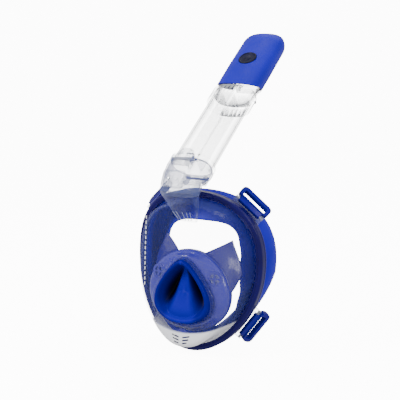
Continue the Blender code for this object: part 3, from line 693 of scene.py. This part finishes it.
def build_skirt():
    """The face skirt: each row of its path is an outward step, a place in Y and a share of the sweep."""
    path = [
        (-4.6, -36.0, 0.0), (-9.3, -36.0, 0.0), (-9.3, -30.0, 0.05), (-8.0, -24.0, 0.15),
        (-3.0, -17.0, 0.4), (-1.0, -9.0, 0.7), (-4.0, -2.5, 0.9), (-10.0, 0.0, 1.0), (-17.0, -2.5, 1.0),
    ]
    bead = [skirt_ring(*path[0]), skirt_ring(*path[1])]
    rings = [skirt_ring(*row) for row in path[1:]]
    rings += [between(rings[-1], lip_edge(), 0.5), lip_edge()]
    rings = bead[:1] + smooth_rings(rings, 4)
    made = finish(skin(rings), "face_skirt_fine", "skirt", SHELL, ["face_skirt"], 60.0)
    apply_all(thicken(made, 2.3))


def duct_rings(grow, drop=0.0):
    """Sections of the air duct from its foot up, the foot lowered by the drop."""
    rings = []
    for level, (y, z, half_width, half_depth) in enumerate(DUCT):
        ring = []
        for t in angles(TUBE_FINE):
            x, depth = superellipse(t, half_width + grow, half_depth + grow, 3.0)
            ring.append(Vector((x, y + depth, z if level else z - drop)))
        rings.append(ring)
    return rings


def slot_tools():
    """Round-ended cutters for the chin's drain slots."""
    tools = []
    for length, z in DRAIN_SLOTS:
        for side in (1, -1):
            half = length / 2
            points = []
            for end in (1, -1):
                for i in range(9):
                    a = math.pi * (i / 8 - 0.5)
                    points.append((end * (half - 1.0 + math.cos(a)), end * math.sin(a)))
            rings = [[Vector((x, y, up)) for x, up in points] for y in (-7.0, 7.0)]
            bm = skin(rings, cap_first=True, cap_last=True)
            aim = Matrix.Rotation(math.radians(-side * DRAIN_LEAN), 4, "Y")
            place = Matrix.Translation((side * (half + 2.5), PANE_FRONT, z))
            bmesh.ops.transform(bm, matrix=place @ aim, verts=bm.verts)
            tools.append(tool_of(bm, "slot_tool", "badge"))
    return tools


def build_visor():
    rim = frame_ring(-12.5, -41.0)
    rings = [
        frame_ring(-3.0, -39.0), frame_ring(-11.0, -39.0), frame_ring(-12.2, -39.6), rim,
        between(rim, pane_ring(-2.0, 6.0), 0.5), pane_ring(-2.0, 6.0), pane_ring(-1.4, 3.6),
        pane_ring(0.0, 1.6), pane_ring(1.8, 0.6), pane_ring(4.0),
    ]
    nose = nose_ring(2.0, 0.0)
    last = rings[-1]
    for share in (0.2, 0.4, 0.6, 0.8):
        ring = between(last, nose, share)
        for point in ring:
            point.y = pane_y(point.x, point.z)
        rings.append(ring)
    rings.append(nose)
    made = finish(skin(rings), "visor_fine", "visor", SHELL, ["visor"], 50.0)
    thicken(made, 1.9)
    duct = tool_of(skin(duct_rings(0.6, 7.0), cap_first=True, cap_last=True), "duct_tool")
    cut(made, [duct] + slot_tools())
    made.data.shade_smooth()
    made.data.set_sharp_from_angle(angle=math.radians(35.0))


def build_marks():
    """A broken line of small moulded ribs up the wearer's right side of the visor's pane."""
    bm = bmesh.new()
    for level in range(MARKS):
        z = MARK_TOP - MARK_STEP * level
        x = 1.5 * (z / 60.0) ** 2 - 66.0
        bar = bmesh.ops.create_cube(bm, size=1.0)["verts"]
        bmesh.ops.scale(bm, vec=MARK_SIZE, verts=bar)
        bmesh.ops.translate(bm, vec=(x, pane_y(x, z) - 1.2, z), verts=bar)
    bmesh.ops.bevel(bm, geom=list(bm.edges), offset=0.35, segments=2, affect="EDGES")
    finish(bm, "visor_marks", "mark", SHELL)


def nose_bump(x, z):
    """The wedge over the bridge of the nose, from a narrow top just inside the rim."""
    (top, narrow), (base, wide) = BUMP
    down = min(max((top - z) / (top - base), 0.0), 1.0)
    width = narrow + (wide - narrow) * down
    side = min(max(1.5 - abs(x) / width, 0.0), 1.0)
    return BUMP_HEIGHT * math.sin(0.5 * math.pi * down) ** 0.6 * side * side * (3 - 2 * side)


def build_nose():
    rings = [
        nose_ring(6.0, -2.3), nose_ring(0.4, -2.3), nose_ring(0.0, -1.6), nose_ring(0.0, NOSE_RISE - 2.4),
        nose_ring(-0.5, NOSE_RISE - 0.9), nose_ring(-1.8, NOSE_RISE), nose_ring(-3.4, NOSE_RISE - 0.2),
        nose_ring(-4.6, NOSE_RISE - 1.2),
    ]
    rim = nose_ring(-5.5, NOSE_RISE - 3.0)
    steps = 26
    for step in range(steps):
        share = 1.0 - step / steps * 0.97
        ring = []
        for point in rim:
            x = share * point.x
            z = NOSE_CENTRE + share * (point.z - NOSE_CENTRE)
            floor = NOSE_RECESS * (1 - share**3) ** 0.6
            ring.append(Vector((x, point.y + floor - nose_bump(x, z) * (1 - share**6), z)))
        rings.append(ring)
    made = finish(
        skin(rings, cap_last=True),
        "nose_pocket_fine", "pocket", SHELL, ["nose_pocket"], 60.0,
    )
    smooth = made.modifiers.new("soft", "SMOOTH")
    smooth.iterations = 6
    apply_all(thicken(made, 1.7))
    low = 1.3
    profile = (
        (1.4, low), (6.6, low), (7.0, low + 0.5), (6.4, low + 2.4), (5.6, low + 3.0),
        (2.8, low + 3.6), (1.8, low + 3.4), (1.4, low + 2.8),
    )
    finish(
        skin([nose_ring(grow, lift) for grow, lift in profile], loop=True),
        "nose_retainer_fine", "duct", SHELL, ["nose_retainer"],
    )


def valve_frame(side):
    """Frame of an inhale valve in the cup's front, facing forwards and a little outwards."""
    turn = Matrix.Rotation(math.radians(side * VALVE_TURN), 4, "Z")
    turn = turn @ Matrix.Rotation(math.radians(90.0), 4, "X")
    x, y, z = VALVE_AT
    return Matrix.Translation((side * x, y, z)) @ turn


def build_cup():
    rings = [
        nose_ring(1.5, -5.2), nose_ring(6.0, -5.4), cup_ring(0.92, -63.0), cup_ring(0.99, -58.0),
        cup_ring(0.98, -47.0), cup_ring(0.83, -32.0), cup_ring(0.72, -20.0), cup_ring(0.63, -18.0),
    ]
    made = finish(
        skin(smooth_rings(rings, 4)),
        "oronasal_cup_fine", "soft", SHELL, ["oronasal_cup"], 60.0,
    )
    thicken(made, 1.6)
    tools = []
    for side in (1, -1):
        bm = bmesh.new()
        bmesh.ops.create_cone(
            bm, cap_ends=True, segments=48, radius1=VALVE_HOLE, radius2=VALVE_HOLE, depth=18.0,
        )
        bmesh.ops.translate(bm, vec=(0.0, 0.0, 3.0), verts=bm.verts)
        bmesh.ops.transform(bm, matrix=valve_frame(side), verts=bm.verts)
        tools.append(tool_of(bm, "valve_tool"))
    cut(made, tools)
    made.data.shade_smooth()
    made.data.set_sharp_from_angle(angle=math.radians(50.0))


def build_wings():
    """Soft webs from the cup's shoulders out towards the lip of the skirt."""
    steps = 24
    for side, name in ((1, "left"), (-1, "right")):
        rows = []
        for i in range(steps + 1):
            share = i / steps
            t = math.radians(4.0 + 66.0 * share)
            c = math.cos(t)
            up = math.sin(t)
            tip = Vector(WING_TIPS[0]).lerp(Vector(WING_TIPS[1]), share)
            x = CUP[0] * c + 1.5
            z = CUP_CENTRE + CUP[1] * up + 1.5
            row = [
                (0.985 * CUP[0] * c, -56.0, CUP_CENTRE + 0.985 * CUP[1] * up),
                (x, -50.0, z),
                tuple(Vector((x, -46.0, z)).lerp(tip, 0.5)),
                tuple(tip + Vector((1.2 * math.sin(5.0 * share), 0.0, 0.0))),
            ]
            rows.append([Vector((side * x, y, z)) for x, y, z in curve_through(row, 4)])
        bm = bmesh.new()
        grid = [[bm.verts.new(point) for point in row] for row in rows]
        for first, second in zip(grid, grid[1:]):
            for i in range(len(first) - 1):
                bm.faces.new((first[i], first[i + 1], second[i + 1], second[i]))
        node = f"cup_wing_{name}"
        made = finish(bm, node + "_fine", "wing", SHELL, [node], 60.0)
        apply_all(thicken(made, 1.5))


def build_duct():
    outside = smooth_rings(duct_rings(0.0), 5)
    inside = smooth_rings(duct_rings(-DUCT_WALL), 5)
    finish(
        skin(outside + inside[::-1], loop=True),
        "air_duct_fine", "duct", SHELL, ["air_duct"],
    )


def build_duct_ribs():
    """Slim moulded ribs down the front of the duct, coloured pale as painted highlight streaks."""
    bm = bmesh.new()
    for x in DUCT_RIBS:
        low = Vector((0.85 * x, -73.3, 76.0))
        high = Vector((1.15 * x, -84.6, 89.0))
        bar = bmesh.ops.create_cube(bm, size=1.0)["verts"]
        bmesh.ops.scale(bm, vec=(0.9, 0.9, (high - low).length), verts=bar)
        turn = (high - low).to_track_quat("Z", "Y").to_matrix().to_4x4()
        bmesh.ops.transform(bm, matrix=Matrix.Translation((low + high) / 2) @ turn, verts=bar)
    bmesh.ops.bevel(bm, geom=list(bm.edges), offset=0.3, segments=2, affect="EDGES")
    finish(bm, "air_duct_ribs", "painted_highlight_rib", SHELL)


# Snorkel


def joint_matrix():
    """Frame of the joint plane, found from the seal ring that lies on it, in millimetres."""
    lift = next(joint for joint in frame["joints"] if joint["name"] == "float_lift")
    along = Vector(lift["axis"]).normalized()
    back = Vector((1.0, 0.0, 0.0)).cross(along)
    back = -back if back.y < 0 else back
    low, high = size_of("tube_seal")
    centre = (low + high) / 2 + SEAL_DEPTH * along
    turn = Matrix((Vector((1.0, 0.0, 0.0)), back, along)).transposed().to_4x4()
    return Matrix.Translation(centre) @ turn


def oval_ring(grow, z):
    ring = []
    for t in angles(TUBE_FINE):
        x, y = superellipse(t, TUBE[0] + grow, TUBE[1] + grow, TUBE_SQUARENESS)
        ring.append(Vector((x, y, z)))
    return ring


def build_cap():
    place = joint_matrix()
    foot = oval_ring(CAP_GROW, CAP_FOOT)
    for point in foot:
        point.z += CAP_SLANT * point.y
    shoulder = CAP_TOP - CAP_ROUND
    rings = [foot, oval_ring(CAP_GROW + 0.4, 209.0), oval_ring(CAP_GROW, shoulder)]
    for i in range(1, 12):
        a = 0.5 * math.pi * i / 12
        grow = CAP_GROW - 15.5 * (1 - math.cos(a))
        rings.append(oval_ring(grow, shoulder + CAP_ROUND * math.sin(a) ** 1.05))
    bm = skin(rings, cap_last=True)
    bmesh.ops.transform(bm, matrix=place, verts=bm.verts)
    made = finish(bm, "top_cap_fine", "cap", "snorkel", ["top_cap"], 50.0)
    thicken(made, 1.5, -1.0)
    window = bmesh.new()
    bmesh.ops.create_cube(window, size=1.0)
    bmesh.ops.scale(window, vec=CAP_WINDOW, verts=window.verts)
    bmesh.ops.translate(window, vec=CAP_WINDOW_AT, verts=window.verts)
    uprights = [e for e in window.edges if abs((e.verts[0].co - e.verts[1].co).y) > 1.0]
    bmesh.ops.bevel(window, geom=uprights, offset=5.0, segments=5, affect="EDGES")
    bmesh.ops.transform(window, matrix=place, verts=window.verts)
    seat = bmesh.new()
    bmesh.ops.create_cone(
        seat, cap_ends=True, segments=64, radius1=BADGE_SEAT, radius2=BADGE_SEAT, depth=11.3,
    )
    aim = Matrix.Translation((0.0, -24.35, BADGE_AT)) @ Matrix.Rotation(math.radians(90.0), 4, "X")
    bmesh.ops.transform(seat, matrix=place @ aim, verts=seat.verts)
    cut(made, [tool_of(window, "window_tool"), tool_of(seat, "seat_tool")])
    made.data.shade_smooth()
    made.data.set_sharp_from_angle(angle=math.radians(35.0))


def build_badge():
    """A plain dished badge with a raised ring."""
    profile = (
        (14.0, 19.0), (14.0, 20.3), (13.6, 20.9), (13.0, 21.2), (12.2, 21.2), (11.6, 20.8),
        (11.0, 20.3), (8.0, 20.1), (5.4, 20.3), (4.8, 20.8), (3.4, 21.0), (1.6, 21.1),
    )
    aim = Matrix.Translation((0.0, 0.0, BADGE_AT)) @ Matrix.Rotation(math.radians(90.0), 4, "X")
    rings = [[Vector((r * math.cos(t), r * math.sin(t), h)) for t in angles(64)] for r, h in profile]
    bm = skin(rings, cap_first=True, cap_last=True)
    bmesh.ops.transform(bm, matrix=joint_matrix() @ aim, verts=bm.verts)
    finish(bm, "cap_badge_fine", "badge", "snorkel", ["cap_badge"])


def build_seal():
    rings = []
    for i in range(12):
        a = 2 * math.pi * i / 12
        rings.append(oval_ring(-0.2 + 1.25 * math.cos(a), -SEAL_DEPTH + math.sin(a)))
    bm = skin(rings, loop=True)
    bmesh.ops.transform(bm, matrix=joint_matrix(), verts=bm.verts)
    finish(bm, "tube_seal_fine", "seal", SHELL, ["tube_seal"])


# Carried-over solids


def paint_node(node, paint):
    made = frame["nodes"][node]
    for place in made.material_slots:
        place.material = PAINT[paint]


def build_rounded():
    for name in BUCKLES:
        rounded_copy(f"strap_buckle_{name}", "buckle", f"buckle_{name}", 1.2)
        rounded_copy(f"strap_bracket_{name}", "clear", SHELL, 0.6)
        paint_node(f"buckle_pin_{name}", "steel")
    rounded_copy("latch", "clear", "latch", 1.0)
    rounded_copy("base_panel", "clear", SHELL, 0.8)
    rounded_copy("vent_cover", "clear", "snorkel", 0.5)
    for node in ("tube_collar", "top_body"):
        outer_skin(node, "tube", "snorkel")


def paint_nodes():
    """Paints the CAD solids that stay visible as they are."""
    paints = {
        "snorkel_tube": "tube", "snorkel_base": "base", "float": "float", "float_seal": "float",
        "fold_pin": "steel", "latch_pin": "steel", "collar_screw": "steel",
        "panel_screw_left": "steel", "panel_screw_right": "steel",
        "chin_valve_seat": "soft", "chin_valve": "soft",
    }
    for side in ("left", "right"):
        paints[f"inhale_seat_{side}"] = "soft"
        paints[f"inhale_valve_{side}"] = "milky"
        paints[f"exhale_flap_{side}"] = "tube"
    for node, paint in paints.items():
        paint_node(node, paint)


# Studio


def emitter(name, power, size, place, aim):
    light = bpy.data.lights.new(name, "AREA")
    light.energy = power
    light.size = size
    made = bpy.data.objects.new(name, light)
    bpy.context.scene.collection.objects.link(made)
    made.location = place
    made.rotation_euler = (Vector(aim) - Vector(place)).to_track_quat("-Z", "Y").to_euler()


def build_studio():
    """A pale floor and a pale world, both brighter to the camera than the light that they give."""
    floor_z = CAD_BOX[0][2] - 0.002
    bm = bmesh.new()
    bmesh.ops.create_grid(bm, x_segments=1, y_segments=1, size=6.0)
    bmesh.ops.translate(bm, vec=(0.0, 0.0, floor_z), verts=bm.verts)
    mesh = bpy.data.meshes.new("floor")
    bm.to_mesh(mesh)
    bm.free()
    made, nodes, links, shader = new_material("floor")
    shader.inputs["Base Color"].default_value = (0.95, 0.95, 0.95, 1.0)
    shader.inputs["Roughness"].default_value = 0.9
    shader.inputs["Emission Color"].default_value = (1.0, 1.0, 1.0, 1.0)
    shader.inputs["Emission Strength"].default_value = BACKDROP - 1.0
    mesh.materials.append(made)
    floor = bpy.data.objects.new("floor", mesh)
    floor.visible_diffuse = False
    floor.visible_glossy = False
    bpy.context.scene.collection.objects.link(floor)
    world = bpy.data.worlds.new("studio")
    world.use_nodes = True
    nodes = world.node_tree.nodes
    links = world.node_tree.links
    seen = nodes.new("ShaderNodeLightPath")
    level = nodes.new("ShaderNodeMapRange")
    level.inputs["To Min"].default_value = AMBIENT
    level.inputs["To Max"].default_value = BACKDROP
    links.new(seen.outputs["Is Camera Ray"], level.inputs["Value"])
    links.new(level.outputs["Result"], nodes["Background"].inputs["Strength"])
    nodes["Background"].inputs["Color"].default_value = (1.0, 1.0, 1.0, 1.0)
    bpy.context.scene.world = world
    for name, (power, size, place, aim) in LAMPS.items():
        emitter(name, power, size, place, aim)


def build_camera():
    """Seen from the wearer's left front, a little above."""
    azimuth = math.radians(AZIMUTH)
    rise = math.radians(RISE)
    roll = math.radians(ROLL)
    forward = Vector((
        -math.sin(azimuth) * math.cos(rise), math.cos(azimuth) * math.cos(rise), -math.sin(rise),
    ))
    right = Vector((math.cos(azimuth), math.sin(azimuth), 0.0))
    up = right.cross(forward)
    across = right * math.cos(roll) + up * math.sin(roll)
    upwards = up * math.cos(roll) - right * math.sin(roll)
    aim = Vector((0.0, -0.036, 0.0)) + 0.0045 * across + 0.0993 * upwards
    lens = bpy.data.cameras.new("camera")
    lens.lens = 90.0
    lens.sensor_width = 36.0
    camera = bpy.data.objects.new("camera", lens)
    bpy.context.scene.collection.objects.link(camera)
    turn = Matrix((across, upwards, -forward)).transposed().to_4x4()
    camera.matrix_world = Matrix.Translation(aim - DISTANCE * forward) @ turn
    bpy.context.scene.camera = camera


build_camera()
build_studio()
build_frames()
build_skirt()
build_visor()
build_marks()
build_nose()
build_cup()
build_wings()
build_duct()
build_duct_ribs()
build_cap()
build_badge()
build_seal()
build_rounded()
paint_nodes()
